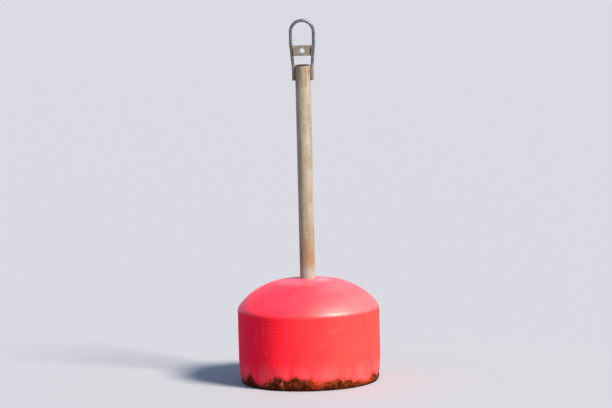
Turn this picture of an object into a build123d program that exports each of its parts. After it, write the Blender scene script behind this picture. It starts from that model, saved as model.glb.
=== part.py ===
from build123d import *

import os
from math import asin, atan, cos, degrees, pi, radians, sin, tan

# Mooring buoy with a steel staff through its float. Millimetres, +Z up along the staff.
# The origin is on the staff's axis at the waterline. The hoop lies in the XZ plane.

# Float: a moulded drum with a domed top and a deeper, rounder bottom
float_diameter = 450.0
side_foot_z = 26.0            # where the side wall turns into the bottom
side_height = 204.0           # side wall, from its foot to the shoulder
side_draw_height = 62.0       # above the foot, where the side wall starts to draw in
side_draw_radius = 450.0      # of the arc by which it draws in
top_crown_radius = 520.0
top_crown_slope = 10.9        # degrees, where the crown turns into the haunch
top_haunch_slope = 53.0       # degrees, where the haunch turns into the shoulder
shoulder_radius = 21.0
bottom_crown_radius = 420.0
bottom_crown_slope = 14.0
bottom_haunch_slope = 50.0
bilge_radius = 55.0
hub_diameter = 86.0           # moulded hub under the float, round the staff
hub_height = 12.0
hub_fillet = 8.0              # where the hub meets the bottom
hub_rim_fillet = 2.7
moulding_clearance = 0.15     # between the float's bore and the staff, per side

# Filler plug in the bottom, where the foam went in
plug_diameter = 42.0
plug_thickness = 7.0
plug_chamfer = 1.4
plug_recess = 4.0
plug_offset = 130.0           # from the staff's axis
plug_clearance = 0.3
plug_grip_width = 7.0
plug_grip_height = 5.0
plug_grip_margin = 5.0        # left free at each end of the grip
plug_grip_fillet = 1.75

# Staff: galvanised 1 1/2 inch pipe, open at its top
pipe_diameter = 48.3
pipe_wall = 3.2
staff_top_z = 1005.0
staff_below_hub = 190.0

# Hoop of round bar, welded to both sides of the staff's top
hoop_bar_diameter = 10.0
hoop_width = 72.0             # between the centre lines of its legs
hoop_rise = 146.0             # from the staff's top to the hoop's outer top
hoop_lap = 48.0               # length of leg that lies along the staff
hoop_joggle_start = -10.0     # from the staff's top, where the legs start to spread
hoop_joggle_end = 68.0        # from the staff's top, where they stand apart in full
hoop_joggle_radius = 60.0
hoop_seat_gap = 0.1           # between a leg and the staff

# Cross plate between the hoop's legs
plate_height = 34.0
plate_thickness = 8.0
plate_above_staff = 29.0
plate_hole_diameter = 15.0
plate_end_gap = 0.1           # between the plate's end and a leg
plate_chamfer = 1.5

# Weld beads
hoop_bead_radius = 4.0
hoop_bead_inset = 3.0         # from the leg's end to the bead's end
hoop_bead_sink = 0.6          # how far the bead's centre lies inside the leg's front
plate_bead_radius = 3.2
plate_bead_inset = 3.0
plate_bead_proud = 1.0        # how far the bead's centre lies off the plate's face
bush_bead_radius = 3.4

# Bush in the staff's lower end, which carries the swivel
bush_flange_thickness = 14.0
bush_flange_chamfer = 2.0
bush_spigot_length = 30.0
bush_spigot_clearance = 0.15

# Swivel eye, with its washer and nut above the bush
swivel_shank_diameter = 20.0
swivel_clearance = 0.3        # round the shank, and between the faces that turn on each other
washer_diameter = 37.0
washer_thickness = 3.0
nut_across_flats = 30.0
nut_height = 16.0
shank_past_nut = 4.0
stack_gap = 0.05              # between washer, nut and shank, which are tightened together
collar_diameter = 32.0
collar_height = 8.0
eye_drop = 33.0               # from the collar's underside to the eye's centre
eye_diameter = 52.0
eye_thickness = 20.0
eye_fillet = 5.0
neck_foot_diameter = 18.0      # at the eye's centre
neck_top_diameter = 21.0      # under the collar

# Shackle on the swivel eye
shackle_pin_diameter = 16.0
shackle_pin_clearance = 0.3   # round the pin, in the eye and in the ears
shackle_bar_diameter = 13.0
shackle_jaw = 23.0            # between the ears
shackle_length = 50.0         # from the pin's axis to the inside of the crown
ear_diameter = 32.0
ear_thickness = 14.0
ear_fillet = 2.0
pin_collar_diameter = 27.0
pin_collar_thickness = 4.0
pin_collar_fillet = 1.0
pin_end_past_ear = 2.0
pin_tab_diameter = 22.0
pin_tab_thickness = 8.0
pin_tab_root_width = 15.4
pin_tab_hole_diameter = 8.0
pin_tab_reach = 15.0          # from the pin's collar to the tab's centre

# Sizes that follow from those above
float_radius = float_diameter / 2
shoulder_z = side_foot_z + side_height
pipe_radius = pipe_diameter / 2
pipe_bore_radius = pipe_radius - pipe_wall
hoop_bar_radius = hoop_bar_diameter / 2
leg_offset = hoop_width / 2
seat_offset = pipe_radius + hoop_seat_gap + hoop_bar_radius
leg_lean = atan((leg_offset - seat_offset) / (hoop_joggle_end - hoop_joggle_start))
shank_radius = swivel_shank_diameter / 2
pin_radius = shackle_pin_diameter / 2
pin_hole_radius = pin_radius + shackle_pin_clearance
ear_offset = (shackle_jaw + ear_thickness) / 2

side_draw_slope = asin(side_draw_height / side_draw_radius)
side_foot_radius = float_radius - side_draw_radius * (1 - cos(side_draw_slope))

low = (Align.CENTER, Align.CENTER, Align.MIN)      # set on its bottom face
high = (Align.CENTER, Align.CENTER, Align.MAX)     # hung from its top face
turn_along_y = Rotation(90, 0, 0)
turn_along_x = Rotation(0, 90, 0)


def end_curve(inner_radius, rim, rim_slope, crown_radius, crown_slope, haunch_slope, knuckle_radius):
    """One end of the float, as three tangent arcs from near its axis out to its rim.

    Slopes are measured from the end's face, which is 0, to the side, which is 90 degrees. Gives
    the arcs' points as (radius, rise above the rim): the start, then each arc's middle and end.
    Gives also the rise of the whole dome, and the haunch's radius and centre.
    """
    slope_1 = radians(crown_slope)
    slope_2 = radians(haunch_slope)
    knuckle_centre = rim - knuckle_radius * sin(rim_slope)
    knuckle_base = -knuckle_radius * cos(rim_slope)
    knuckle_start = knuckle_centre + knuckle_radius * sin(slope_2)
    crown_end = crown_radius * sin(slope_1)
    haunch_radius = (knuckle_start - crown_end) / (sin(slope_2) - sin(slope_1))
    haunch_centre = knuckle_start - haunch_radius * sin(slope_2)
    haunch_base = knuckle_base + (knuckle_radius - haunch_radius) * cos(slope_2)
    crown_base = haunch_base + (haunch_radius - crown_radius) * cos(slope_1)
    inner_slope = asin(inner_radius / crown_radius)

    def on_arc(centre, base, radius, slope):
        return (centre + radius * sin(slope), base + radius * cos(slope))

    points = [on_arc(0, crown_base, crown_radius, inner_slope)]
    for centre, base, radius, start, stop in (
        (0, crown_base, crown_radius, inner_slope, slope_1),
        (haunch_centre, haunch_base, haunch_radius, slope_1, slope_2),
        (knuckle_centre, knuckle_base, knuckle_radius, slope_2, rim_slope),
    ):
        points.append(on_arc(centre, base, radius, (start + stop) / 2))
        points.append(on_arc(centre, base, radius, stop))
    return points, crown_base + crown_radius, (haunch_radius, haunch_centre, haunch_base)


bore_radius = pipe_radius + moulding_clearance
top_curve, top_rise, _ = end_curve(
    bore_radius, float_radius, pi / 2,
    top_crown_radius, top_crown_slope, top_haunch_slope, shoulder_radius,
)
bottom_curve, bottom_depth, bottom_haunch = end_curve(
    hub_diameter / 2, side_foot_radius, pi / 2 - side_draw_slope,
    bottom_crown_radius, bottom_crown_slope, bottom_haunch_slope, bilge_radius,
)
hub_bottom_z = side_foot_z - bottom_depth - hub_height
staff_bottom_z = hub_bottom_z - staff_below_hub


def make_float():
    top = [(r, shoulder_z + rise) for r, rise in top_curve]
    bottom = [(r, side_foot_z - rise) for r, rise in bottom_curve]
    draw_top = (float_radius, side_foot_z + side_draw_height)
    hub_root = bottom[0]
    hub_rim = (hub_root[0], hub_bottom_z)
    bore_foot = (bore_radius, hub_bottom_z)
    with BuildSketch(Plane.XZ) as section:
        with BuildLine():
            for curve in (top, bottom):
                for i in range(0, len(curve) - 1, 2):
                    ThreePointArc(curve[i], curve[i + 1], curve[i + 2])
            Line(top[-1], draw_top)
            TangentArc(draw_top, bottom[-1], tangent=(0, -1))
            Polyline(hub_root, hub_rim, bore_foot, top[0])
        make_face()
        for corner, radius in ((hub_root, hub_fillet), (hub_rim, hub_rim_fillet)):
            fillet(section.vertices().sort_by_distance((corner[0], corner[1], 0))[0], radius)
    drum = revolve(section.sketch, Axis.Z)
    return drum - plug_place() * Cylinder(plug_diameter / 2 + plug_clearance, 2 * plug_recess)


def plug_place():
    """The plug's place: on the bottom's haunch, with +Z straight out of the skin."""
    haunch_radius, haunch_centre, haunch_base = bottom_haunch
    slope = asin((plug_offset - haunch_centre) / haunch_radius)
    depth = haunch_base + haunch_radius * cos(slope)
    return Pos(plug_offset, 0, side_foot_z - depth) * Rotation(0, 180 - degrees(slope), 0)


def make_filler_plug():
    head = Cylinder(plug_diameter / 2, plug_thickness, align=low)
    head = chamfer(head.faces().sort_by(Axis.Z)[-1].edges(), plug_chamfer)
    grip = Pos(0, 0, plug_thickness) * Box(
        plug_diameter - 2 * plug_grip_margin, plug_grip_width, plug_grip_height, align=low
    )
    grip = fillet(grip.edges().filter_by(Axis.Z), plug_grip_fillet)
    return plug_place() * Pos(0, 0, -plug_recess) * (head + grip)


def make_staff_pipe():
    length = staff_top_z - staff_bottom_z
    return Pos(0, 0, staff_bottom_z) * (
        Cylinder(pipe_radius, length, align=low) - Cylinder(pipe_bore_radius, length, align=low)
    )


def make_hoop():
    leg_foot_z = staff_top_z - hoop_lap
    bend_z = staff_top_z + hoop_rise - hoop_bar_radius - leg_offset
    leg = [
        (seat_offset, leg_foot_z),
        (seat_offset, staff_top_z + hoop_joggle_start),
        (leg_offset, staff_top_z + hoop_joggle_end),
        (leg_offset, bend_z),
    ]
    with BuildLine(Plane.XZ) as path:
        FilletPolyline(*leg, radius=hoop_joggle_radius)
        ThreePointArc((leg_offset, bend_z), (0, bend_z + leg_offset), (-leg_offset, bend_z))
        FilletPolyline(*[(-x, z) for x, z in reversed(leg)], radius=hoop_joggle_radius)
    foot = Plane(origin=(seat_offset, 0, leg_foot_z), z_dir=(0, 0, 1))
    return sweep(foot * Circle(hoop_bar_radius), path=path.line)


def plate_centre_z():
    return staff_top_z + plate_above_staff + plate_height / 2


def leg_inside(z):
    """Offset of the legs' inner sides at a height where they lean outwards."""
    rise = z - staff_top_z - hoop_joggle_start
    return seat_offset + rise * tan(leg_lean) - hoop_bar_radius / cos(leg_lean)


def make_cross_plate():
    """A flat bar, with its ends cut to the lean of the legs."""
    foot_z = plate_centre_z() - plate_height / 2
    head_z = plate_centre_z() + plate_height / 2
    foot_x = leg_inside(foot_z) - plate_end_gap
    head_x = leg_inside(head_z) - plate_end_gap
    outline = Polygon((-foot_x, foot_z), (foot_x, foot_z), (head_x, head_z), (-head_x, head_z), align=None)
    plate = extrude(Plane.XZ * outline, plate_thickness / 2, both=True)
    plate = chamfer(plate.edges().filter_by(Axis.Y), plate_chamfer)
    hole = turn_along_y * Cylinder(plate_hole_diameter / 2, 2 * plate_thickness)
    return plate - Pos(0, 0, plate_centre_z()) * hole


def bead(radius, length):
    """A short run of weld: a round-ended bar along Z."""
    straight = length - 2 * radius
    ends = [Pos(0, 0, side * straight / 2) * Sphere(radius) for side in (-1, 1)]
    return Cylinder(radius, straight) + ends


def make_hoop_welds(side, hoop):
    """Two beads down the grooves between one leg and the staff."""
    run = hoop_lap + hoop_joggle_start - hoop_bead_inset
    middle_z = staff_top_z - hoop_lap + hoop_bead_inset + run / 2
    groove_x = seat_offset - hoop_bar_radius / 2
    groove_y = hoop_bar_radius - hoop_bead_sink
    staff = Pos(0, 0, middle_z) * Cylinder(pipe_radius, 2 * run)
    solids = []
    for front in (-1, 1):
        place = Pos(side * groove_x, front * groove_y, middle_z)
        solids.append(place * bead(hoop_bead_radius, run) - staff - hoop)
    return solids


def make_plate_welds(hoop, plate):
    """Four beads, in the corners between the cross plate's faces and the legs."""
    run = plate_height - 2 * plate_bead_inset
    corner_x = leg_inside(plate_centre_z())
    corner_y = plate_thickness / 2 + plate_bead_proud
    solids = []
    for side in (-1, 1):
        for front in (-1, 1):
            lean = Rotation(0, side * degrees(leg_lean), 0)
            place = Pos(side * corner_x, front * corner_y, plate_centre_z()) * lean
            solids.append(place * bead(plate_bead_radius, run) - plate - hoop)
    return solids


def make_swivel_bush():
    flange = Cylinder(pipe_radius, bush_flange_thickness, align=high)
    flange = chamfer(flange.faces().sort_by(Axis.Z)[0].edges(), bush_flange_chamfer)
    spigot = Cylinder(pipe_bore_radius - bush_spigot_clearance, bush_spigot_length, align=low)
    length = bush_flange_thickness + bush_spigot_length
    bore = Cylinder(shank_radius + swivel_clearance, 3 * length)
    return Pos(0, 0, staff_bottom_z) * (flange + spigot - bore)


def make_bush_weld():
    ring = Torus(pipe_radius, bush_bead_radius)
    return Pos(0, 0, staff_bottom_z) * (ring - Cylinder(pipe_radius, 4 * bush_bead_radius))


washer_z = staff_bottom_z + bush_spigot_length + swivel_clearance
nut_z = washer_z + washer_thickness + stack_gap
collar_top_z = staff_bottom_z - bush_flange_thickness - swivel_clearance
eye_z = collar_top_z - collar_height - eye_drop


def make_swivel_washer():
    ring = Cylinder(washer_diameter / 2, washer_thickness, align=low)
    return Pos(0, 0, washer_z) * (ring - Cylinder(shank_radius + stack_gap, 4 * washer_thickness))


def make_swivel_nut():
    block = extrude(RegularPolygon(nut_across_flats / 2, 6, major_radius=False), nut_height)
    return Pos(0, 0, nut_z) * (block - Cylinder(shank_radius + stack_gap, 4 * nut_height))


def make_swivel_eye():
    shank_length = nut_z + nut_height + shank_past_nut - collar_top_z
    shank = Pos(0, 0, collar_top_z) * Cylinder(shank_radius, shank_length, align=low)
    collar = Pos(0, 0, collar_top_z) * Cylinder(collar_diameter / 2, collar_height, align=high)
    neck = Pos(0, 0, eye_z) * Cone(neck_foot_diameter / 2, neck_top_diameter / 2, eye_drop, align=low)
    ring = Cylinder(eye_diameter / 2, eye_thickness)
    ring = Pos(0, 0, eye_z) * turn_along_y * fillet(ring.edges(), eye_fillet)
    hole = Pos(0, 0, eye_z) * turn_along_y * Cylinder(pin_hole_radius, 2 * eye_diameter)
    return shank + collar + neck + ring - hole


def make_shackle_bow():
    bend_z = eye_z - (shackle_length + shackle_bar_diameter / 2 - ear_offset)
    with BuildLine(Plane.YZ) as path:
        Line((ear_offset, eye_z), (ear_offset, bend_z))
        ThreePointArc((ear_offset, bend_z), (0, bend_z - ear_offset), (-ear_offset, bend_z))
        Line((-ear_offset, bend_z), (-ear_offset, eye_z))
    start = Plane(origin=(0, ear_offset, eye_z), z_dir=(0, 0, -1))
    bow = sweep(start * Circle(shackle_bar_diameter / 2), path=path.line)
    ear = Cylinder(ear_diameter / 2, ear_thickness)
    ear = turn_along_y * fillet(ear.edges(), ear_fillet)
    for side in (-1, 1):
        bow += Pos(0, side * ear_offset, eye_z) * ear
    return bow - Pos(0, 0, eye_z) * turn_along_y * Cylinder(pin_hole_radius, 8 * ear_offset)


def make_shackle_pin():
    """The pin, from its free end at -Y to the collar and pierced tab at +Y."""
    ear_face = shackle_jaw / 2 + ear_thickness
    collar_face = ear_face + shackle_pin_clearance
    shank_start = -(ear_face + pin_end_past_ear)
    shank_length = collar_face - shank_start
    tab_y = collar_face + pin_collar_thickness + pin_tab_reach
    across = Pos(0, shank_start + shank_length / 2, 0) * turn_along_y
    shank = across * Cylinder(pin_radius, shank_length)
    collar = Pos(0, collar_face + pin_collar_thickness / 2, 0) * turn_along_y * fillet(
        Cylinder(pin_collar_diameter / 2, pin_collar_thickness).edges(), pin_collar_fillet
    )
    root = Pos(0, tab_y - pin_tab_reach / 2, 0) * Box(pin_tab_thickness, pin_tab_reach, pin_tab_root_width)
    tab = Pos(0, tab_y, 0) * turn_along_x * Cylinder(pin_tab_diameter / 2, pin_tab_thickness)
    hole = Pos(0, tab_y, 0) * turn_along_x * Cylinder(pin_tab_hole_diameter / 2, pin_tab_diameter)
    return Pos(0, 0, eye_z) * (shank + collar + root + tab - hole)


hoop = make_hoop()
cross_plate = make_cross_plate()

nodes = {
    "float": make_float(),
    "filler_plug": make_filler_plug(),
    "staff_pipe": make_staff_pipe(),
    "hoop": hoop,
    "cross_plate": cross_plate,
    "hoop_weld_left": make_hoop_welds(-1, hoop),
    "hoop_weld_right": make_hoop_welds(1, hoop),
    "plate_welds": make_plate_welds(hoop, cross_plate),
    "swivel_bush": make_swivel_bush(),
    "bush_weld": make_bush_weld(),
    "swivel_washer": make_swivel_washer(),
    "swivel_nut": make_swivel_nut(),
    "swivel_eye": make_swivel_eye(),
    "shackle_bow": make_shackle_bow(),
    "shackle_pin": make_shackle_pin(),
}

os.makedirs("parts", exist_ok=True)
for name, shape in nodes.items():
    solids = shape if isinstance(shape, list) else [shape]
    whole = Compound(children=[solid for piece in solids for solid in piece.solids()])
    export_step(whole, f"parts/{name}.step")
    print(name, "solids", len(whole.solids()), "volume_cm3", round(whole.volume / 1000, 2))
print("float from", round(side_foot_z - bottom_depth, 1), "to", round(shoulder_z + top_rise, 1))
print("staff bottom", round(staff_bottom_z, 1), "eye", round(eye_z, 1))
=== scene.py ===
from math import asin, atan, atan2, ceil, copysign, cos, degrees, hypot, pi, radians, sin, tan
from random import Random

import bpy
from mathutils import Matrix, Vector, noise


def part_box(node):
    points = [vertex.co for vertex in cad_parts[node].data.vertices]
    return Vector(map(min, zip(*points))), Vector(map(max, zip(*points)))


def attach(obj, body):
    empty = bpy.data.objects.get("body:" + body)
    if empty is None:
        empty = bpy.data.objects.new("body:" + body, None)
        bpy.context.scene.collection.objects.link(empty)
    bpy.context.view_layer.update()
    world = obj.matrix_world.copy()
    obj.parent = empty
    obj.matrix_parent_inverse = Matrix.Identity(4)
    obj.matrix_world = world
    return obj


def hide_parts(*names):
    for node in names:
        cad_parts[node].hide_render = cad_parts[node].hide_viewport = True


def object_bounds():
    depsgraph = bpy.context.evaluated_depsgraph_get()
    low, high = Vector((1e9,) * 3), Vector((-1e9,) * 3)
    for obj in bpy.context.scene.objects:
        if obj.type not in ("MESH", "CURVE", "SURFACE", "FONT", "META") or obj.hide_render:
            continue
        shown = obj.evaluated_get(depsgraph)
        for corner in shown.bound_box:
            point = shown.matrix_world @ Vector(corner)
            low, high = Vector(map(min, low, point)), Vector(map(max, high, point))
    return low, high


# A mooring buoy afloat: its looks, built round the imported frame. Metres, +Z up, floor at the waterline.
# Azimuths are measured from the front (-Y) towards the right (+X). A band gives the place where a
# finish starts to show, and the place where it shows in full.
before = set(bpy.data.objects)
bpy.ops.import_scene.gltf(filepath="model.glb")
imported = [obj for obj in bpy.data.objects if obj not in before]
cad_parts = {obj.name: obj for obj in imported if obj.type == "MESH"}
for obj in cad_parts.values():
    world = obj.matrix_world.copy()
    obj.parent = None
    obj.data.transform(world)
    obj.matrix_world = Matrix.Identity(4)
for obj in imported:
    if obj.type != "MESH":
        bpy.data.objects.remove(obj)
cad_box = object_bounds()

mm = 0.001
shown_top = cad_box[1].z

# Camera: it looks down at the photograph's angle, through a lens that the buoy fills
camera_distance = 14.0
camera_elevation = radians(7.5)
camera_lean = radians(1.4)            # the buoy leans this much to the left in the picture
view_margin = 1.12                    # height of the view, as a share of what stands above the waterline
view_middle = 0.49                    # height of its middle, as a share of the same
picture_shape = 612 / 408
sensor_width = 36.0
clip_near = 0.1
clip_far = 300.0

# Studio: a round floor, one soft sun from the right front, and an even sky
floor_radius = 60.0
floor_sides = 96
sun_azimuth = radians(51)
sun_elevation = radians(43)
sun_distance = 10.0
sun_width = radians(17)               # across its disc, which makes its shadows soft
sun_strength = 10.5
sun_colour = "#ffeedb"
sky_strength = 1.0
sky_colours = ((0.0, "#e6eefc"), (0.25, "#b9cdea"), (1.0, "#8fa6c8"))     # from the horizon up

# The float's section, as in the CAD source
float_low, float_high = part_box("float")
float_radius = (float_high.x - float_low.x) / 2
side_foot_z = 26 * mm
side_height = 204 * mm
shoulder_z = side_foot_z + side_height
side_draw_top = side_foot_z + 62 * mm             # where the side starts to draw in towards its foot
side_draw_radius = 450 * mm
side_draw_slope = asin((side_draw_top - side_foot_z) / side_draw_radius)
hub_radius = 43 * mm
hub_chamfer = 3 * mm
# Each end's crown radius, the slopes at which its crown and its haunch end, its knuckle's radius
top_sizes = (520 * mm, radians(10.9), radians(53), 21 * mm)
bottom_sizes = (420 * mm, radians(14), radians(50), 55 * mm)

# The float's skin, a little inside the CAD float
skin_inset = 0.5 * mm                 # room left for the moulding line
hub_inset = 0.3 * mm
bore_gap = 0.2 * mm                   # between the skin and the staff
skin_step = 5 * mm
skin_segments = 240
moulding_line_below = 4 * mm          # from the shoulder down to the moulding line
moulding_line_rise = 0.4 * mm
mould_rings_below = (16 * mm, 27 * mm, 38 * mm)  # shallow rings that the mould has left
mould_ring_depth = 0.35 * mm
line_half_width = 2 * mm
line_clearance = 1.2 * line_half_width            # kept free of the side wall's other points

# Hollows pressed into the float: azimuth in degrees, height, half width, depth
float_hollows = (
    (-48, 268 * mm, 34 * mm, 1.6 * mm),
    (18, 300 * mm, 40 * mm, 1.0 * mm),
    (74, 160 * mm, 46 * mm, 1.6 * mm),
    (-20, 110 * mm, 60 * mm, 0.9 * mm),
    (140, 130 * mm, 50 * mm, 2.4 * mm),
    (-118, 175 * mm, 44 * mm, 2.0 * mm),
    (175, 280 * mm, 36 * mm, 1.8 * mm),
)

# The float's finish, with painted sunlight, sheen, sky reflection and shade in its colour
sun_faded_and_lit_side = (0.94, -0.34, 0.0)    # towards the sun: faded by it and painted lighter there, painted shade on the far side
top_tone_band = (-60 * mm, 140 * mm)  # this and the next three go from the axis to that side
# The next three bands place sun bleaching together with painted sheen, sky reflection and light
chalk_and_sheen_band = (40 * mm, 240 * mm)
bleached_and_lit_top_band = (30 * mm, 130 * mm)
pale_lit_band = (5 * mm, 55 * mm)         # palest of all, close beside the staff
crown_waver = 0.012                   # in the slope at which the pale crown ends: bleaching and painted sky reflection
dull_back_band = (0.0, 90 * mm)       # behind the staff
spray_band = (96 * mm, 44 * mm)       # heights: dried spray
wet_band = (16 * mm, 2 * mm)
slime_band = (-4 * mm, -20 * mm)
growth_mark_band = (-78 * mm, -38 * mm)
run_length = 9.0                      # of runs down the side, in their own widths
rub_length = 7                        # of marks rubbed along the side, in their own heights
stain_reach = 7 * mm                  # of the growth's stain above its edge
stain_fade = 10 * mm
dry_roughness = (0.5, 0.62)
wet_roughness = 0.28

# The growth's crust
growth_low = -44 * mm                 # where it ends below the waterline, and the ring's foot
growth_high = 58 * mm                 # top of the ring that it is made from
growth_level = 17 * mm                # its upper edge, between its patches
growth_depth = 6.5 * mm
growth_buried = 1.5 * mm              # how far under the skin the crust starts
growth_fade = 11 * mm                 # over which it thins out towards its upper edge
growth_foot_fade = 36 * mm            # and towards its lower edge
growth_limit = float_radius - 0.05 * mm           # how far it stands out at most
# How its edges waver round the float: up and down by, about how many waves in a radian, noise row
top_waves = ((7 * mm, 4, 0), (4 * mm, 18, 1))
foot_waves = ((10 * mm, 3, 2), (7 * mm, 14, 3))
patch_reach = 1.7                     # where a patch ends, in half widths
growth_patches = (                    # azimuth in degrees, extra height, half width in degrees
    (-59, 25 * mm, 6.0),
    (-37, 10 * mm, 4.0),
    (-27, 30 * mm, 6.5),
    (-12, 32 * mm, 6.5),
    (1, 27 * mm, 5.5),
    (12, 18 * mm, 5.0),
    (23, 22 * mm, 5.0),
    (33, 16 * mm, 4.5),
    (45, 8 * mm, 4.0),
    (65, 26 * mm, 5.5),
    (80, 12 * mm, 7.0),
    (118, 18 * mm, 9.0),
    (160, 12 * mm, 12.0),
    (-150, 16 * mm, 8.0),
    (-104, 10 * mm, 10.0),
)
crust_step = 3 * mm
crust_wall = 3 * mm
crust_segments = 460
crust_face_depth = 1 * mm             # what lies less deep than this is on its outer face
crust_lump = 9 * mm                   # across, and growth_depth high
crust_grit = 2.5 * mm                 # across
crust_grit_depth = 1.2 * mm

# Weed on the crust: each kind of strand by its length, and how it bends to the side at each step
strand_kinds = (
    (12 * mm, (0.2, -0.3, 0.1, 0.4)),
    (17 * mm, (-0.2, 0.1, 0.4, -0.3, 0.1)),
    (9 * mm, (0.4, 0.1, -0.3)),
)
strand_radius = 0.9 * mm
strand_sides = 5
strand_bow = 0.15                     # how far it stands away from the skin, as a share of its length
strand_taper = 0.75                   # each ring to the one before
strand_count = 620
strand_seed = 7                       # of the chance that places them
strand_stray = 0.02                   # radians to either side of its place round the float
strand_tilt = 0.6                     # radians to either side
strand_sizes = (0.6, 1.1)
strand_start = 3 * mm                 # below the growth's upper edge
strand_spread = 16 * mm               # how far down from there most of them lie
strand_lowest = -40 * mm
strand_gap = 0.2 * mm                 # between its root and the skin

# The staff, and bands of its finish by height, or by distance from its axis inside the pipe
staff_low, staff_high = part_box("staff_pipe")
staff_radius = (staff_high.x - staff_low.x) / 2
staff_run_length = 6.0                # of runs of rust, in their own widths
foot_band = (530 * mm, 400 * mm)      # rust at its foot
salt_band = (385 * mm, 345 * mm)      # salt just over the float
burnt_band = (925 * mm, 962 * mm)     # zinc burnt by the welds
silt_band = (-5 * mm, -60 * mm)       # silt on all the steel that is below the waterline
# Inside the bore: rust, darkened further as painted shade
bore_rust_and_shade_band = (22.6 * mm, 21.4 * mm)
cut_end_band = (staff_high.z - 1.2 * mm, staff_high.z - 0.2 * mm)
leg_stain_band = (staff_high.z + 14 * mm, staff_high.z - 6 * mm)          # on the hoop, beside its welds

# Hoop, cross plate and weld beads, as in the CAD source
bar_radius = 5 * mm
seat_gap = 0.1 * mm                   # between a leg and the staff
leg_seat = staff_radius + seat_gap + bar_radius
leg_offset = 36 * mm
leg_lean_height = 78 * mm             # of the stretch in which the legs lean outwards
leg_lean = atan((leg_offset - leg_seat) / leg_lean_height)
plate_rise = 56 * mm                  # from where the legs start to lean to the plate's middle
plate_thickness = 8 * mm
hoop_bead_radius = 4 * mm
hoop_bead_sink = 0.6 * mm             # how far a bead's middle lies inside the leg's front
plate_bead_radius = 3.2 * mm
plate_bead_out = 1 * mm               # how far a bead's middle lies outside the plate's face

# The beads' ripples and rough surface
ripple = 1.9 * mm                     # from one to the next
ripple_depth = 0.1                    # as a share of the bead's radius
ripple_points = 4
bead_sides = 20
bead_wear = (3.5 * mm, 0.9 * mm)      # size of its lumps, their depth

# Copies of CAD nodes with worn edges: voxel, size of their lumps, their depth
bush_weld_wear = (0.5 * mm, 4 * mm, 0.9 * mm)
plate_wear = (0.7 * mm, 6 * mm, 0.7 * mm)
forging_wear = (0.9 * mm, 7 * mm, 0.5 * mm)
forgings = (                          # node, body
    ("swivel_bush", "buoy"),
    ("swivel_eye", "swivel"),
    ("shackle_bow", "shackle"),
    ("shackle_pin", "shackle"),
)

# Points nearer than this become one, and edges flatter than this are shaded smooth
turned_merge = 0.02 * mm
cad_merge = 0.01 * mm
skin_smoothing = radians(30)
rough_smoothing = radians(60)


def linear(code):
    """An sRGB hex colour as Blender's linear RGBA."""
    parts = [int(code[i:i + 2], 16) / 255 for i in (1, 3, 5)]
    return [c / 12.92 if c <= 0.04045 else ((c + 0.055) / 1.055) ** 2.4 for c in parts] + [1.0]


def clamped(value):
    return max(0.0, min(1.0, value))


def azimuth_of(point):
    return atan2(point.x, -point.y)


def degrees_apart(azimuth, other):
    """From one azimuth in degrees to another, the short way round."""
    return (azimuth - other + 180) % 360 - 180


def clear_selection():
    bpy.ops.object.select_all(action="DESELECT")


# Camera, floor and light
def look_at(thing, place, target, roll=0.0):
    thing.location = place
    turn = (Vector(target) - Vector(place)).to_track_quat("-Z", "Y").to_matrix()
    thing.rotation_euler = (turn @ Matrix.Rotation(roll, 3, "Z")).to_euler()


def around(azimuth, elevation, distance, centre):
    """A point seen from the centre at that azimuth and elevation, in radians."""
    level = distance * cos(elevation)
    offset = Vector((level * sin(azimuth), -level * cos(azimuth), distance * sin(elevation)))
    return Vector(centre) + offset


def make_camera():
    data = bpy.data.cameras.new("camera")
    camera = bpy.data.objects.new("camera", data)
    bpy.context.scene.collection.objects.link(camera)
    bpy.context.scene.camera = camera
    centre = (0, 0, shown_top * view_middle)
    look_at(camera, around(0, camera_elevation, camera_distance, centre), centre, -camera_lean)
    view_width = shown_top * view_margin * picture_shape
    data.sensor_width = sensor_width
    data.lens = sensor_width * camera_distance / view_width
    data.clip_start = clip_near
    data.clip_end = clip_far


def make_sun():
    """A light from far off, so that the floor is lit evenly."""
    data = bpy.data.lights.new("sun", "SUN")
    data.angle = sun_width
    data.energy = sun_strength
    data.color = linear(sun_colour)[:3]
    light = bpy.data.objects.new("sun", data)
    bpy.context.scene.collection.objects.link(light)
    centre = (0, 0, 0)
    look_at(light, around(sun_azimuth, sun_elevation, sun_distance, centre), centre)


def make_sky():
    """An even, slightly blue sky, brighter round the horizon, as a studio's walls would be."""
    world = bpy.data.worlds.new("studio")
    bpy.context.scene.world = world
    world.use_nodes = True
    tree = world.node_tree
    height = add(tree, "SeparateXYZ", {0: add(tree, "TexCoord").outputs["Generated"]}).outputs["Z"]
    sky = add(tree, "ValToRGB", {0: height})
    stops = sky.color_ramp.elements
    while len(stops) < len(sky_colours):
        stops.new(0.5)
    for stop, (place, colour) in zip(stops, sky_colours):
        stop.position = place
        stop.color = linear(colour)
    tree.links.new(sky.outputs["Color"], tree.nodes["Background"].inputs["Color"])
    tree.nodes["Background"].inputs["Strength"].default_value = sky_strength


def make_studio():
    clear_selection()
    bpy.ops.mesh.primitive_circle_add(vertices=floor_sides, radius=floor_radius, fill_type="NGON")
    floor = bpy.context.object
    floor.name = "floor"
    floor.data.materials.append(studio_floor())
    make_sun()
    make_sky()
    bpy.context.scene.view_settings.view_transform = "Standard"


# Nodes and colours
def add(tree, kind, inputs=None, **settings):
    """Adds one node. Settings go by name, inputs by name or number, each a value or a socket to
    link."""
    node = tree.nodes.new("ShaderNode" + kind)
    for name, value in settings.items():
        setattr(node, name, value)
    for name, value in (inputs or {}).items():
        if isinstance(value, bpy.types.NodeSocket):
            tree.links.new(value, node.inputs[name])
        else:
            node.inputs[name].default_value = value
    return node


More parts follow.
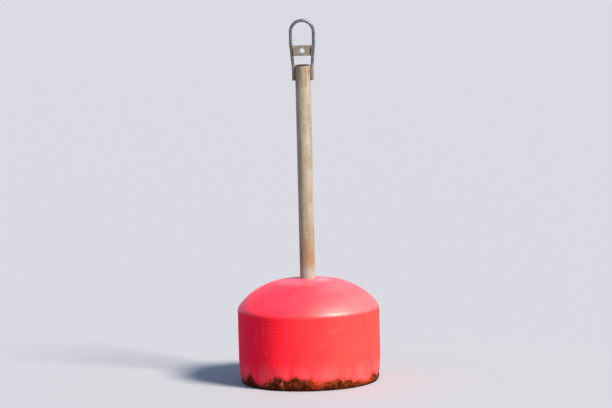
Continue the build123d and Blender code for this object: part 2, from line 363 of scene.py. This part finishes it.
def start_material(name, **sockets):
    """A material with one Principled shader: its uniform values are set on its own sockets."""
    material = bpy.data.materials.new(name)
    material.use_nodes = True
    tree = material.node_tree
    shader = tree.nodes["Principled BSDF"]
    for socket, value in sockets.items():
        shader.inputs[socket.replace("_", " ")].default_value = value
    return material, tree, shader


def surface_place(tree):
    """Object coordinates, and their height alone."""
    place = add(tree, "TexCoord").outputs["Object"]
    return place, add(tree, "SeparateXYZ", {0: place}).outputs["Z"]


def drawn_down(tree, place, radius, stretch):
    """Coordinates round a turned piece of that radius, in metres, drawn out along its height."""
    parts = add(tree, "SeparateXYZ", {0: place})
    flat = add(tree, "CombineXYZ", {0: parts.outputs["X"], 1: parts.outputs["Y"]})
    ring = add(tree, "VectorMath", {0: flat.outputs[0]}, operation="NORMALIZE")
    ring = add(tree, "VectorMath", {0: ring.outputs[0], "Scale": radius}, operation="SCALE")
    low = add(tree, "Math", {0: parts.outputs["Z"], 1: stretch}, operation="DIVIDE")
    lift = add(tree, "CombineXYZ", {2: low.outputs[0]})
    return add(tree, "VectorMath", {0: ring.outputs[0], 1: lift.outputs[0]}).outputs[0]


def from_axis(tree, place):
    """Distance from the buoy's axis."""
    flat = add(tree, "VectorMath", {0: place, 1: (1.0, 1.0, 0.0)}, operation="MULTIPLY").outputs[0]
    return add(tree, "VectorMath", {0: flat}, operation="LENGTH").outputs["Value"]


def share(tree, *parts):
    """How much of a finish shows: its parts, multiplied. A part is a socket, a number or a smooth
    step, (value, start, end), with the results there where they aren't 0 and 1."""
    whole = None
    for part in parts:
        if isinstance(part, tuple):
            value, start, end, *results = part
            low, high = results or (0.0, 1.0)
            sockets = {"Value": value, "From Min": start, "From Max": end, "To Min": low, "To Max": high}
            part = add(tree, "MapRange", sockets, interpolation_type="SMOOTHSTEP").outputs["Result"]
        if whole is None:
            whole = part
        else:
            whole = add(tree, "Math", {0: whole, 1: part}, operation="MULTIPLY").outputs[0]
    return whole


def patches(tree, place, size, low, high, detail=4.0):
    """Soft patches about size across: 0 between them and 1 inside. Low and high are where they start
    and end in the noise, which lies around 0.5: the higher, the rarer they are."""
    cloud = add(tree, "TexNoise", {"Vector": place, "Scale": 1 / size, "Detail": detail})
    return share(tree, (cloud.outputs["Fac"], low, high))


def layered(tree, ground, *layers):
    """A colour with layers over it, from the lowest up: each a colour, then the parts of its share."""
    colour = linear(ground)
    for over, *parts in layers:
        over = linear(over) if isinstance(over, str) else over
        mix = add(tree, "Mix", {0: share(tree, *parts), 6: colour, 7: over}, data_type="RGBA")
        colour = mix.outputs[2]
    return colour


def raised(tree, shader, *reliefs):
    """Bump on the shader, from (height, depth in metres) pairs laid over each other."""
    normal = None
    for height, depth in reliefs:
        sockets = {"Height": height, "Distance": depth, "Strength": 1.0}
        if normal:
            sockets["Normal"] = normal
        normal = add(tree, "Bump", sockets).outputs["Normal"]
    tree.links.new(normal, shader.inputs["Normal"])


# Materials
def studio_floor():
    """Matt painted board: pale and plain, so that the buoy's colours stand alone."""
    return start_material("matt_board", Roughness=0.9, Base_Color=linear("#898f98"))[0]


def weathered_polyethylene():
    """Rotomoulded polyethylene after years in the sun. Its colour carries painted light: painted
    shade makes it crimson on the side away from the sun. On the side towards it, sun fading
    and painted sunlight and sheen make it salmon and chalky, and its top is pinker with fading
    and painted sky reflection. It is glossy only on the front half of its top and where it is
    wet, because rubbing has left its side matt. Its grain is drawn coarser than it is, to show."""
    material, tree, shader = start_material(
        "weathered_polyethylene", IOR=1.5, Specular_IOR_Level=0.03, Coat_Roughness=0.46
    )
    place, height = surface_place(tree)
    back = add(tree, "SeparateXYZ", {0: place}).outputs["Y"]
    normal = add(tree, "TexCoord").outputs["Normal"]
    # 1 where the skin faces up, 0 on the side wall
    facing = add(tree, "SeparateXYZ", {0: normal}).outputs["Z"]
    # How the skin faces, and how far it lies, towards the sun: these place painted sunlight and shade
    to_sun, sunny = (
        add(tree, "VectorMath", {0: vector, 1: sun_faded_and_lit_side}, operation="DOT_PRODUCT").outputs["Value"]
        for vector in (normal, place)
    )
    down = drawn_down(tree, place, float_radius, run_length)
    along = drawn_down(tree, place, float_radius / rub_length, 1.0)
    upward = share(tree, (facing, 0.1, 0.9))
    chalk_and_sheen = share(tree, (sunny, *chalk_and_sheen_band), (facing, 0.1, 0.5))
    mottle = patches(tree, place, 70 * mm, 0.35, 0.7)
    waver = add(tree, "TexNoise", {"Vector": place, "Scale": 1 / (55 * mm), "Detail": 3.0}).outputs["Fac"]
    slope = add(tree, "Math", {0: waver, 1: crown_waver, 2: facing}, operation="MULTIPLY_ADD").outputs[0]
    # The pale crown and the top's sunny side: bleaching and painted sky reflection
    middle = share(tree, (slope, 0.971, 1.004), (waver, 0.35, 0.6, 0.6, 1.0))
    sunny_top = share(tree, (sunny, *bleached_and_lit_top_band), (facing, 0.82, 0.96))
    crown = add(tree, "Math", {0: middle, 1: sunny_top}, operation="MAXIMUM").outputs[0]
    rubbed_places = patches(tree, place, 90 * mm, 0.5, 0.6)
    rubbed = share(tree, patches(tree, along, 2.2 * mm, 0.66, 0.72, 2.0), rubbed_places)
    spray = share(tree, (height, *spray_band), patches(tree, down, 26 * mm, 0.25, 0.6))
    wet = share(tree, (height, *wet_band))
    stain = add(tree, "Attribute", attribute_name="growth_stain").outputs["Fac"]
    sunk = share(tree, (height, *slime_band))
    slime = share(tree, (patches(tree, place, 34 * mm, 0.38, 0.62), 0.0, 1.0, 0.45, 0.85), sunk)
    growth_mark = share(tree, (height, *growth_mark_band), patches(tree, place, 10 * mm, 0.3, 0.55))
    # The top's colour, oranger towards the sun: fading and painted warm sunlight
    top = layered(tree, "#e61c38", ("#e81e26", (sunny, *top_tone_band)))
    colour = layered(
        tree,
        "#ec0a2e",
        # Painted sunlight, with some sun fading, on the side facing the sun
        ("#ea3c38", (to_sun, -0.75, 1.05)),                             # the sunny side
        # Painted shade on the side facing away from the sun
        ("#d20c38", (to_sun, -0.2, -0.9)),                              # the shaded side
        # Pinker where it faces up: sun fading and painted sky light
        (top, upward, 0.6),
        # Chalk and painted sheen on the sun side
        ("#ea6468", chalk_and_sheen, 0.6),
        # Bleached crown and painted sky reflection
        ("#e65462", crown, 0.75),
        # Palest beside the staff on the sun side: bleaching and painted light
        ("#ea7888", (slope, 0.994, 1.004), (sunny, *pale_lit_band), 0.7),
        ("#e64a5c", mottle, upward, 0.25),
        ("#d00e30", mottle, 0.2),
        ("#ef6a78", patches(tree, down, 9 * mm, 0.55, 0.75), 0.12),     # runs of rain
        ("#9a1a2c", patches(tree, down, 14 * mm, 0.58, 0.75), 0.25),    # runs of grime
        ("#f29a9a", rubbed, 0.22),
        ("#7c1c24", patches(tree, place, 5 * mm, 0.7, 0.74, 2.0), 0.5),  # specks of dirt
        ("#f0848a", spray, 0.16),
        ("#d3301f", wet),
        ("#6e2616", stain, patches(tree, place, 12 * mm, 0.25, 0.5), 0.85),
        ("#54431f", slime),
        ("#43200d", growth_mark, sunk, 0.8),
    )
    tree.links.new(colour, shader.inputs["Base Color"])
    gleam = share(tree, wet, (sunk, 1.0, 0.0))
    dull = share(tree, (mottle, 0.0, 1.0, *dry_roughness))
    roughness = add(tree, "Mix", {0: share(tree, gleam, 0.8), 2: dull, 3: wet_roughness}).outputs[0]
    tree.links.new(roughness, shader.inputs["Roughness"])
    top_gloss = share(tree, (facing, 0.02, 0.3))
    gloss = add(tree, "Math", {0: top_gloss, 1: gleam}, operation="MAXIMUM").outputs[0]
    tree.links.new(share(tree, gloss, (back, *dull_back_band, 0.95, 0.3)), shader.inputs["Coat Weight"])
    grain = add(tree, "TexNoise", {"Vector": place, "Scale": 1 / (4 * mm), "Detail": 2.0})
    raised(tree, shader, (grain.outputs["Fac"], 0.12 * mm), (rubbed, -0.1 * mm))
    return material


def stained_zinc():
    """Hot-dip zinc gone dull on pipe: tan from the rust under it, drawn down in runs, most at the
    foot, where spray stands, and under the welds, whose heat has burnt the zinc. Rusted dark on its
    cut end, and inside its bore rust with painted shade, near black."""
    material, tree, shader = start_material("stained_zinc", Metallic=0.15, Roughness=0.6)
    place, height = surface_place(tree)
    down = drawn_down(tree, place, staff_radius, staff_run_length)
    crystals = add(tree, "TexVoronoi", {"Vector": place, "Scale": 1 / (9 * mm)}).outputs["Color"]
    crystal_tone = add(tree, "SeparateColor", {0: crystals}).outputs[0]
    foot = share(tree, (height, *foot_band), patches(tree, down, 16 * mm, 0.3, 0.55))
    burnt = share(tree, (height, *burnt_band), patches(tree, down, 8 * mm, 0.36, 0.6))
    rusty = add(tree, "Math", {0: foot, 1: burnt}, operation="MAXIMUM").outputs[0]
    scab = share(tree, patches(tree, place, 6 * mm, 0.6, 0.66), rusty)
    salt = share(tree, (height, *salt_band), patches(tree, place, 4 * mm, 0.3, 0.6, 2.0))
    sunk = share(tree, (height, *silt_band))
    colour = layered(
        tree,
        "#898173",
        ("#796f5f", patches(tree, down, 12 * mm, 0.35, 0.65)),
        ("#aaa59b", (crystal_tone, 0.3, 0.9), 0.15),                    # spangle
        ("#7d6242", patches(tree, down, 7 * mm, 0.54, 0.74), 0.4),      # runs of rust
        ("#7a5932", foot, 0.75),
        ("#74604f", burnt, 0.65),
        ("#5d3620", scab, 0.8),
        ("#89928f", salt, 0.88),
        ("#5d5136", sunk, (patches(tree, place, 20 * mm, 0.3, 0.5), 0.0, 1.0, 0.55, 1.0)),  # silt
        ("#3b3019", sunk, patches(tree, place, 9 * mm, 0.52, 0.66), 0.6),                   # slime
        # Rust and painted shade inside the bore
        ("#2c1c14", (from_axis(tree, place), *bore_rust_and_shade_band)),
        ("#453428", (height, *cut_end_band)),
    )
    tree.links.new(colour, shader.inputs["Base Color"])
    pits = add(tree, "TexNoise", {"Vector": place, "Scale": 1 / (3 * mm), "Detail": 4.0})
    raised(tree, shader, (pits.outputs["Fac"], 0.25 * mm), (scab, 0.4 * mm))
    return material


def dull_zinc(name, light, dark, rust_share, stain_band=None):
    """Old hot-dip zinc on bar and forgings: dark, dull and spangled, with rust breaking through, and
    stained tan beside a weld. Below the waterline a film of silt lies on it."""
    material, tree, shader = start_material(name, Metallic=0.55)
    place, height = surface_place(tree)
    rust = patches(tree, place, 14 * mm, 0.62 - 0.2 * rust_share, 0.72 - 0.15 * rust_share)
    silt = share(tree, (height, *silt_band), patches(tree, place, 12 * mm, 0.45, 0.62))
    layers = [
        (dark, patches(tree, place, 9 * mm, 0.35, 0.65)),
        ("#9aa2a8", patches(tree, place, 3 * mm, 0.6, 0.7), 0.4),       # bright zinc
        ("#67442b", rust, 0.85),
        ("#835839", rust, patches(tree, place, 5 * mm, 0.5, 0.62), 0.7),
        ("#5d5136", silt, 0.75),
    ]
    if stain_band is not None:
        layers.append(("#857766", (height, *stain_band), 0.75))
    tree.links.new(layered(tree, light, *layers), shader.inputs["Base Color"])
    matt = add(tree, "Math", {0: rust, 1: silt}, operation="MAXIMUM").outputs[0]
    tree.links.new(share(tree, (matt, 0.0, 1.0, 0.46, 0.85)), shader.inputs["Roughness"])
    pits = add(tree, "TexNoise", {"Vector": place, "Scale": 1 / (2.5 * mm), "Detail": 4.0})
    raised(tree, shader, (pits.outputs["Fac"], 0.25 * mm), (rust, 0.15 * mm))
    return material


def rusted_steel(name, light, dark, fresh):
    """Steel whose zinc has gone: rough brown scale in two tones, with fresher rust in patches."""
    material, tree, shader = start_material(name, Roughness=0.85)
    place = add(tree, "TexCoord").outputs["Object"]
    colour = layered(
        tree,
        light,
        (dark, patches(tree, place, 8 * mm, 0.35, 0.6)),
        (fresh, patches(tree, place, 14 * mm, 0.54, 0.66)),
    )
    tree.links.new(colour, shader.inputs["Base Color"])
    scale = add(tree, "TexNoise", {"Vector": place, "Scale": 1 / (2 * mm), "Detail": 5.0})
    raised(tree, shader, (scale.outputs["Fac"], 0.5 * mm))
    return material


def black_nylon():
    """Moulded nylon: black and satin, with brown silt on it in patches."""
    material, tree, shader = start_material("black_nylon", Roughness=0.45)
    place = add(tree, "TexCoord").outputs["Object"]
    colour = layered(
        tree,
        "#1c1c1c",
        ("#37302a", patches(tree, place, 8 * mm, 0.4, 0.7)),
        ("#4c3f26", patches(tree, place, 7 * mm, 0.42, 0.6), 0.7),      # silt
    )
    tree.links.new(colour, shader.inputs["Base Color"])
    return material


def brown_algae():
    """Brown algae and silt at the waterline: a rough crust, from near black to orange brown, wet
    and darkest just over the waterline. Its grit is drawn coarser than it is, to show."""
    material, tree, shader = start_material("brown_algae", Roughness=0.7, Specular_IOR_Level=0.08)
    place, height = surface_place(tree)
    colour = layered(
        tree,
        "#380f02",
        ("#642507", patches(tree, place, 11 * mm, 0.42, 0.6)),
        ("#a34c1c", patches(tree, place, 24 * mm, 0.57, 0.66)),
        ("#96300f", patches(tree, place, 110 * mm, 0.5, 0.62), 0.6),    # fresh growth
        ("#543a14", patches(tree, place, 30 * mm, 0.6, 0.7), 0.6),      # olive growth
        ("#320c02", (height, 14 * mm, 3 * mm), 0.8),                    # wet
    )
    tree.links.new(colour, shader.inputs["Base Color"])
    grit = add(tree, "TexNoise", {"Vector": place, "Scale": 1 / (1.5 * mm), "Detail": 3.0})
    raised(tree, shader, (grit.outputs["Fac"], 0.5 * mm))
    return material


# Modelling
def finish_piece(piece, name, body, material, smoothing=rough_smoothing):
    """Puts a piece's place into its mesh, smooths, names and dresses it, and has it ride on its
    body."""
    clear_selection()
    piece.select_set(True)
    bpy.context.view_layer.objects.active = piece
    bpy.ops.object.transform_apply(location=True, rotation=True, scale=True)
    bpy.ops.object.shade_smooth_by_angle(angle=smoothing)
    piece.name = name
    piece.data.name = name
    piece.data.materials.clear()
    piece.data.materials.append(material)
    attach(piece, body)


def turned(profile, steps):
    """A turned piece: its section is drawn from one vertex and spun round the buoy's axis. The
    profile is points of (radius, height), closed or with both ends on the axis."""
    clear_selection()
    first_radius, first_height = profile[0]
    bpy.ops.mesh.primitive_plane_add(size=mm, location=(first_radius, 0, first_height))
    piece = bpy.context.object
    bpy.ops.object.mode_set(mode="EDIT")
    bpy.ops.mesh.merge(type="CENTER")
    for (r_0, z_0), (r_1, z_1) in zip(profile, profile[1:]):
        bpy.ops.mesh.extrude_vertices_move(TRANSFORM_OT_translate={"value": (r_1 - r_0, 0, z_1 - z_0)})
    bpy.ops.mesh.select_all(action="SELECT")
    bpy.ops.mesh.spin(steps=steps, angle=2 * pi, center=(0, 0, 0), axis=(0, 0, 1), use_auto_merge=True)
    bpy.ops.mesh.select_all(action="SELECT")
    bpy.ops.mesh.remove_doubles(threshold=turned_merge)
    bpy.ops.mesh.normals_make_consistent(inside=False)
    bpy.ops.object.mode_set(mode="OBJECT")
    bpy.ops.object.transform_apply(location=True, rotation=True, scale=True)
    return piece


def joined(pieces):
    clear_selection()
    for piece in pieces:
        piece.select_set(True)
    bpy.context.view_layer.objects.active = pieces[0]
    bpy.ops.object.join()
    return pieces[0]


def roughen(piece, grain, depth, outward=False, group="", detail=2):
    """Moves the surface along its normals by up to depth, in soft lumps about grain across. It goes
    inwards unless told otherwise, and only where the vertex group says, if there is one."""
    clouds = bpy.data.textures.new("lumps", "CLOUDS")
    clouds.noise_scale = grain
    clouds.noise_depth = detail
    lumps = piece.modifiers.new("lumps", "DISPLACE")
    lumps.texture = clouds
    lumps.texture_coords = "LOCAL"
    lumps.mid_level = 0.0 if outward else 1.0
    lumps.strength = depth
    lumps.vertex_group = group
    bpy.context.view_layer.objects.active = piece
    bpy.ops.object.modifier_apply(modifier=lumps.name)


def worn_copy(node, name, slot, body, material, voxel, grain, depth):
    """A CAD node's shape with its edges worn round and its faces pitted, in its place."""
    clear_selection()
    piece = bpy.data.objects.new(name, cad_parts[node].data.copy())
    bpy.context.scene.collection.objects.link(piece)
    piece.select_set(True)
    bpy.context.view_layer.objects.active = piece
    bpy.ops.object.mode_set(mode="EDIT")
    bpy.ops.mesh.select_all(action="SELECT")
    bpy.ops.mesh.remove_doubles(threshold=cad_merge)
    bpy.ops.object.mode_set(mode="OBJECT")
    grid = piece.modifiers.new("grid", "REMESH")
    grid.mode = "VOXEL"
    grid.voxel_size = voxel
    bpy.ops.object.modifier_apply(modifier=grid.name)
    roughen(piece, grain, depth)
    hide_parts(node)
    finish_piece(piece, name, body, material)


def dress(material, *nodes):
    """Gives CAD nodes their material."""
    for node in nodes:
        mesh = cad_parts[node].data
        mesh.materials.clear()
        mesh.materials.append(material)


# The float
def arc(centre_r, centre_z, radius, start, stop, way):
    """Points along an arc, by the slope of its skin: 0 faces up, or down where way is -1."""
    count = max(2, ceil(abs(stop - start) * radius / skin_step))
    slopes = [start + (stop - start) * i / count for i in range(count + 1)]
    return [(centre_r + radius * sin(s), centre_z + way * radius * cos(s)) for s in slopes]


def end_arcs(sizes, inner_radius, rim, rim_slope):
    """One end of the float as three tangent arcs, from its inner radius out to the rim. Each has its
    centre's radius and rise above the rim, its own radius, and the slopes where it starts and ends."""
    crown, crown_slope, haunch_slope, knuckle = sizes
    knuckle_r = rim - knuckle * sin(rim_slope)
    knuckle_base = -knuckle * cos(rim_slope)
    knuckle_start = knuckle_r + knuckle * sin(haunch_slope)
    haunch = (knuckle_start - crown * sin(crown_slope)) / (sin(haunch_slope) - sin(crown_slope))
    haunch_r = knuckle_start - haunch * sin(haunch_slope)
    haunch_base = knuckle_base + (knuckle - haunch) * cos(haunch_slope)
    crown_base = haunch_base + (haunch - crown) * cos(crown_slope)
    return (
        (0, crown_base, crown, asin(inner_radius / crown), crown_slope),
        (haunch_r, haunch_base, haunch, crown_slope, haunch_slope),
        (knuckle_r, knuckle_base, knuckle, haunch_slope, rim_slope),
    )


def dome(arcs, rim_z, way):
    """Points along one end of the float, out to its rim. Way is 1 for the top, -1 for the bottom."""
    points = []
    for centre_r, base, radius, start, stop in arcs:
        stretch = arc(centre_r, rim_z + way * base, radius, start, stop, way)
        points += stretch[1:] if points else stretch
    return points


def side_slope(height):
    """How far the side wall leans in at a height, in radians."""
    return asin(max(0.0, side_draw_top - height) / side_draw_radius)


def side_radius(height):
    """The side wall's radius at a height: straight, then drawn in along an arc to its foot."""
    return float_radius - skin_inset - side_draw_radius * (1 - cos(side_slope(height)))


top_arcs = end_arcs(top_sizes, staff_radius + bore_gap, float_radius - skin_inset, pi / 2)
bottom_arcs = end_arcs(bottom_sizes, hub_radius, side_radius(side_foot_z), pi / 2 - side_draw_slope)


def side_wall():
    """The side wall from below the shoulder to above its foot, with the moulding line and rings."""
    steps = round(side_height / skin_step)
    heights = {shoulder_z - side_height * i / steps: 0.0 for i in range(1, steps)}
    lines = [(moulding_line_below, moulding_line_rise)]
    lines += [(below, -mould_ring_depth) for below in mould_rings_below]
    for below, rise in lines:
        middle = shoulder_z - below
        heights = {z: r for z, r in heights.items() if abs(z - middle) > line_clearance}
        heights.update({middle - line_half_width: 0.0, middle: rise, middle + line_half_width: 0.0})
    return [(side_radius(z) + heights[z], z) for z in sorted(heights, reverse=True)]


def float_profile():
    """The skin's outline: over the top, down the side, in along the bottom and round the hub."""
    top = dome(top_arcs, shoulder_z, 1)
    bottom = dome(bottom_arcs, side_foot_z, -1)
    hub_foot = float_low.z + hub_inset
    hub = [
        (hub_radius, hub_foot + hub_chamfer),
        (hub_radius - hub_chamfer, hub_foot),
        (staff_radius + bore_gap, hub_foot),
    ]
    return top + side_wall() + list(reversed(bottom)) + hub + [top[0]]


def press_in(piece, hollows):
    """Presses soft hollows into a piece: azimuth in degrees, height, half width and depth of each."""
    for vertex in piece.data.vertices:
        point = vertex.co
        turn = degrees(azimuth_of(point))
        for azimuth, height, width, depth in hollows:
            across = radians(degrees_apart(turn, azimuth)) * hypot(point.x, point.y)
            away = hypot(across, point.z - height) / width
            if away < 1:
                point -= depth * (1 - away * away) ** 2 * vertex.normal


def float_skin(material):
    """The moulded drum, with its slight hollows and the stain that the growth leaves."""
    piece = turned(float_profile(), skin_segments)
    press_in(piece, float_hollows)
    stain = piece.data.attributes.new("growth_stain", "FLOAT", "POINT")
    for vertex, value in zip(piece.data.vertices, stain.data):
        below = growth_top(azimuth_of(vertex.co)) + stain_reach - vertex.co.z
        value.value = clamped(below / stain_fade)
    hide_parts("float")
    finish_piece(piece, "float_skin", "buoy", material, skin_smoothing)


# The growth
def skin_place(height):
    """Radius of the skin at a height near the waterline, and how far it leans in there, in radians."""
    if height >= side_foot_z:
        return side_radius(height), side_slope(height)
    for centre_r, base, radius, start, _ in reversed(bottom_arcs):
        lean = asin(min(1.0, (side_foot_z - base - height) / radius))
        if lean <= pi / 2 - start:
            break
    return centre_r + radius * cos(lean), lean


def ragged(azimuth, level, waves):
    """An edge's height at an azimuth, in radians: a level with waves in it."""
    for rise, count, row in waves:
        level += rise * noise.noise(Vector((cos(azimuth), sin(azimuth), row)) * count)
    return level


def growth_top(azimuth):
    """How high the growth reaches at an azimuth, in radians: a ragged edge with taller patches."""
    level = ragged(azimuth, growth_level, top_waves)
    for centre, rise, width in growth_patches:
        away = degrees_apart(degrees(azimuth), centre) / (patch_reach * width)
        level += rise * max(0.0, 1 - away ** 2) ** 2
    return level


def growth_foot(azimuth):
    """Where the growth has thinned out to nothing at its foot, as ragged as its top."""
    return ragged(azimuth, growth_low, foot_waves)


def pull_in(piece):
    """Pulls in what stands out past the CAD float's radius."""
    for vertex in piece.data.vertices:
        over = hypot(vertex.co.x, vertex.co.y) / growth_limit
        if over > 1:
            vertex.co.x /= over
            vertex.co.y /= over


def growth_crust(material):
    """The growth's crust: a ring under the skin that comes out through it where it is grown."""
    steps = int((growth_high - growth_low) / crust_step)
    heights = [growth_high - crust_step * i for i in range(steps + 1)]
    outer = [(skin_place(z)[0] - growth_buried, z) for z in heights]
    inner = [(r - crust_wall, z) for r, z in reversed(outer)]
    piece = turned(outer + inner + [outer[0]], crust_segments)
    grown = piece.vertex_groups.new(name="grown")
    for vertex in piece.data.vertices:
        point = vertex.co
        if hypot(point.x, point.y) > skin_place(point.z)[0] - growth_buried - crust_face_depth:
            azimuth = azimuth_of(point)
            from_top = clamped((growth_top(azimuth) - point.z) / growth_fade)
            from_foot = clamped((point.z - growth_foot(azimuth)) / growth_foot_fade)
            grown.add([vertex.index], from_top * from_foot, "REPLACE")
    roughen(piece, crust_lump, growth_depth, outward=True, group="grown")
    roughen(piece, crust_grit, crust_grit_depth, outward=True, group="grown", detail=1)
    pull_in(piece)
    finish_piece(piece, "growth_crust", "buoy", material)


def strand(length, bends):
    """One strand of weed: it hangs down from the origin, thins to its tip and sways a little."""
    clear_selection()
    step = length / len(bends)
    bpy.ops.mesh.primitive_circle_add(vertices=strand_sides, radius=strand_radius, fill_type="NGON")
    piece = bpy.context.object
    bpy.ops.object.mode_set(mode="EDIT")
    bpy.ops.mesh.select_all(action="SELECT")
    place = Vector((0, 0, 0))
    for bend in bends:
        move = Vector((bend * step, -strand_bow * step, -step))
        place += move
        bpy.ops.mesh.extrude_region_move(TRANSFORM_OT_translate={"value": move})
        bpy.ops.transform.resize(value=(strand_taper, strand_taper, strand_taper), center_override=place)
    bpy.ops.mesh.select_all(action="SELECT")
    bpy.ops.mesh.normals_make_consistent(inside=False)
    bpy.ops.object.mode_set(mode="OBJECT")
    return piece


def weed_strands(material):
    """Short weed that lies down the skin, thickest at the growth's upper edge."""
    kinds = [strand(length, bends) for length, bends in strand_kinds]
    chance = Random(strand_seed)
    copies = []
    for i in range(strand_count):
        azimuth = 2 * pi * i / strand_count + chance.uniform(-strand_stray, strand_stray)
        top = growth_top(azimuth) - strand_start
        height = max(top - abs(chance.gauss(0, 1)) * strand_spread, strand_lowest)
        radius, lean = skin_place(height)
        sideways = Matrix.Rotation(chance.uniform(-strand_tilt, strand_tilt), 4, "Y")
        tilt = Matrix.Rotation(lean, 4, "X") @ sideways
        size = Matrix.Scale(chance.uniform(*strand_sizes), 4)
        out = Matrix.Translation((0, -(radius + strand_gap), height))
        mesh = kinds[chance.randrange(len(kinds))].data.copy()
        mesh.transform(Matrix.Rotation(azimuth, 4, "Z") @ out @ tilt @ size)
        copies.append(bpy.data.objects.new("strand", mesh))
        bpy.context.scene.collection.objects.link(copies[-1])
    piece = joined(copies)
    for kind in kinds:
        bpy.data.objects.remove(kind)
    pull_in(piece)
    finish_piece(piece, "weed_strands", "buoy", material)


# The welds
def bead(radius, low, high, place, lean):
    """One run of weld up a groove: a rod of overlapping ripples with rounded ends."""
    count = round((high - low) / (ripple / ripple_points))
    profile = [(0.0, low)]
    for i in range(1, count):
        z = low + (high - low) * i / count
        end = min(z - low, high - z)
        swell = 1 - ripple_depth + ripple_depth * abs(sin(pi * (z - low) / ripple))
        rounded = (1 - (1 - min(1.0, end / radius)) ** 2) ** 0.5
        profile.append((radius * swell * rounded, z))
    profile.append((0.0, high))
    piece = turned(profile, bead_sides)
    middle = Matrix.Translation((0, 0, (low + high) / 2))
    tilt = middle @ Matrix.Rotation(lean, 4, "Y") @ middle.inverted()
    piece.data.transform(Matrix.Translation((place[0], place[1], 0)) @ tilt)
    return piece


def weld_run(node, radius, places, lean, material):
    """The beads of one CAD node, from its lowest to its highest point. Each leans outwards."""
    low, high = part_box(node)
    beads = [bead(radius, low.z, high.z, place, copysign(lean, place[0])) for place in places]
    piece = joined(beads)
    roughen(piece, *bead_wear)
    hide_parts(node)
    finish_piece(piece, node + "_rippled", "buoy", material)


def welds(material):
    """The beads beside the hoop's legs, at the cross plate's corners and round the bush."""
    groove_x = staff_radius + bar_radius / 2 + seat_gap
    groove_y = bar_radius - hoop_bead_sink
    for node, side in (("hoop_weld_left", -1), ("hoop_weld_right", 1)):
        places = [(side * groove_x, groove_y), (side * groove_x, -groove_y)]
        weld_run(node, hoop_bead_radius, places, 0.0, material)
    corner_x = leg_seat + plate_rise * tan(leg_lean) - bar_radius / cos(leg_lean)
    corner_y = plate_thickness / 2 + plate_bead_out
    corners = [(x * corner_x, y * corner_y) for x in (-1, 1) for y in (-1, 1)]
    weld_run("plate_welds", plate_bead_radius, corners, leg_lean, material)
    worn_copy("bush_weld", "bush_weld_rough", "weld", "buoy", material, *bush_weld_wear)


# Making the buoy
make_studio()
make_camera()
float_skin(weathered_polyethylene())
algae = brown_algae()
growth_crust(algae)
weed_strands(algae)
bar_zinc = dull_zinc("bar_zinc", "#60676c", "#42474b", 0.15, leg_stain_band)
tackle_zinc = dull_zinc("tackle_zinc", "#7c7f7e", "#545858", 0.6)
welds(rusted_steel("burnt_weld", "#61574d", "#463e36", "#6c5544"))
plate_rust = rusted_steel("rusted_flat_bar", "#706c69", "#5a5550", "#6c6055")
worn_copy("cross_plate", "cross_plate_scaled", "rusty_plate", "buoy", plate_rust, *plate_wear)
for node, body in forgings:
    worn_copy(node, node + "_forged", "tackle_zinc", body, tackle_zinc, *forging_wear)
dress(stained_zinc(), "staff_pipe")
dress(bar_zinc, "hoop")
dress(tackle_zinc, "swivel_washer", "swivel_nut")
dress(black_nylon(), "filler_plug")
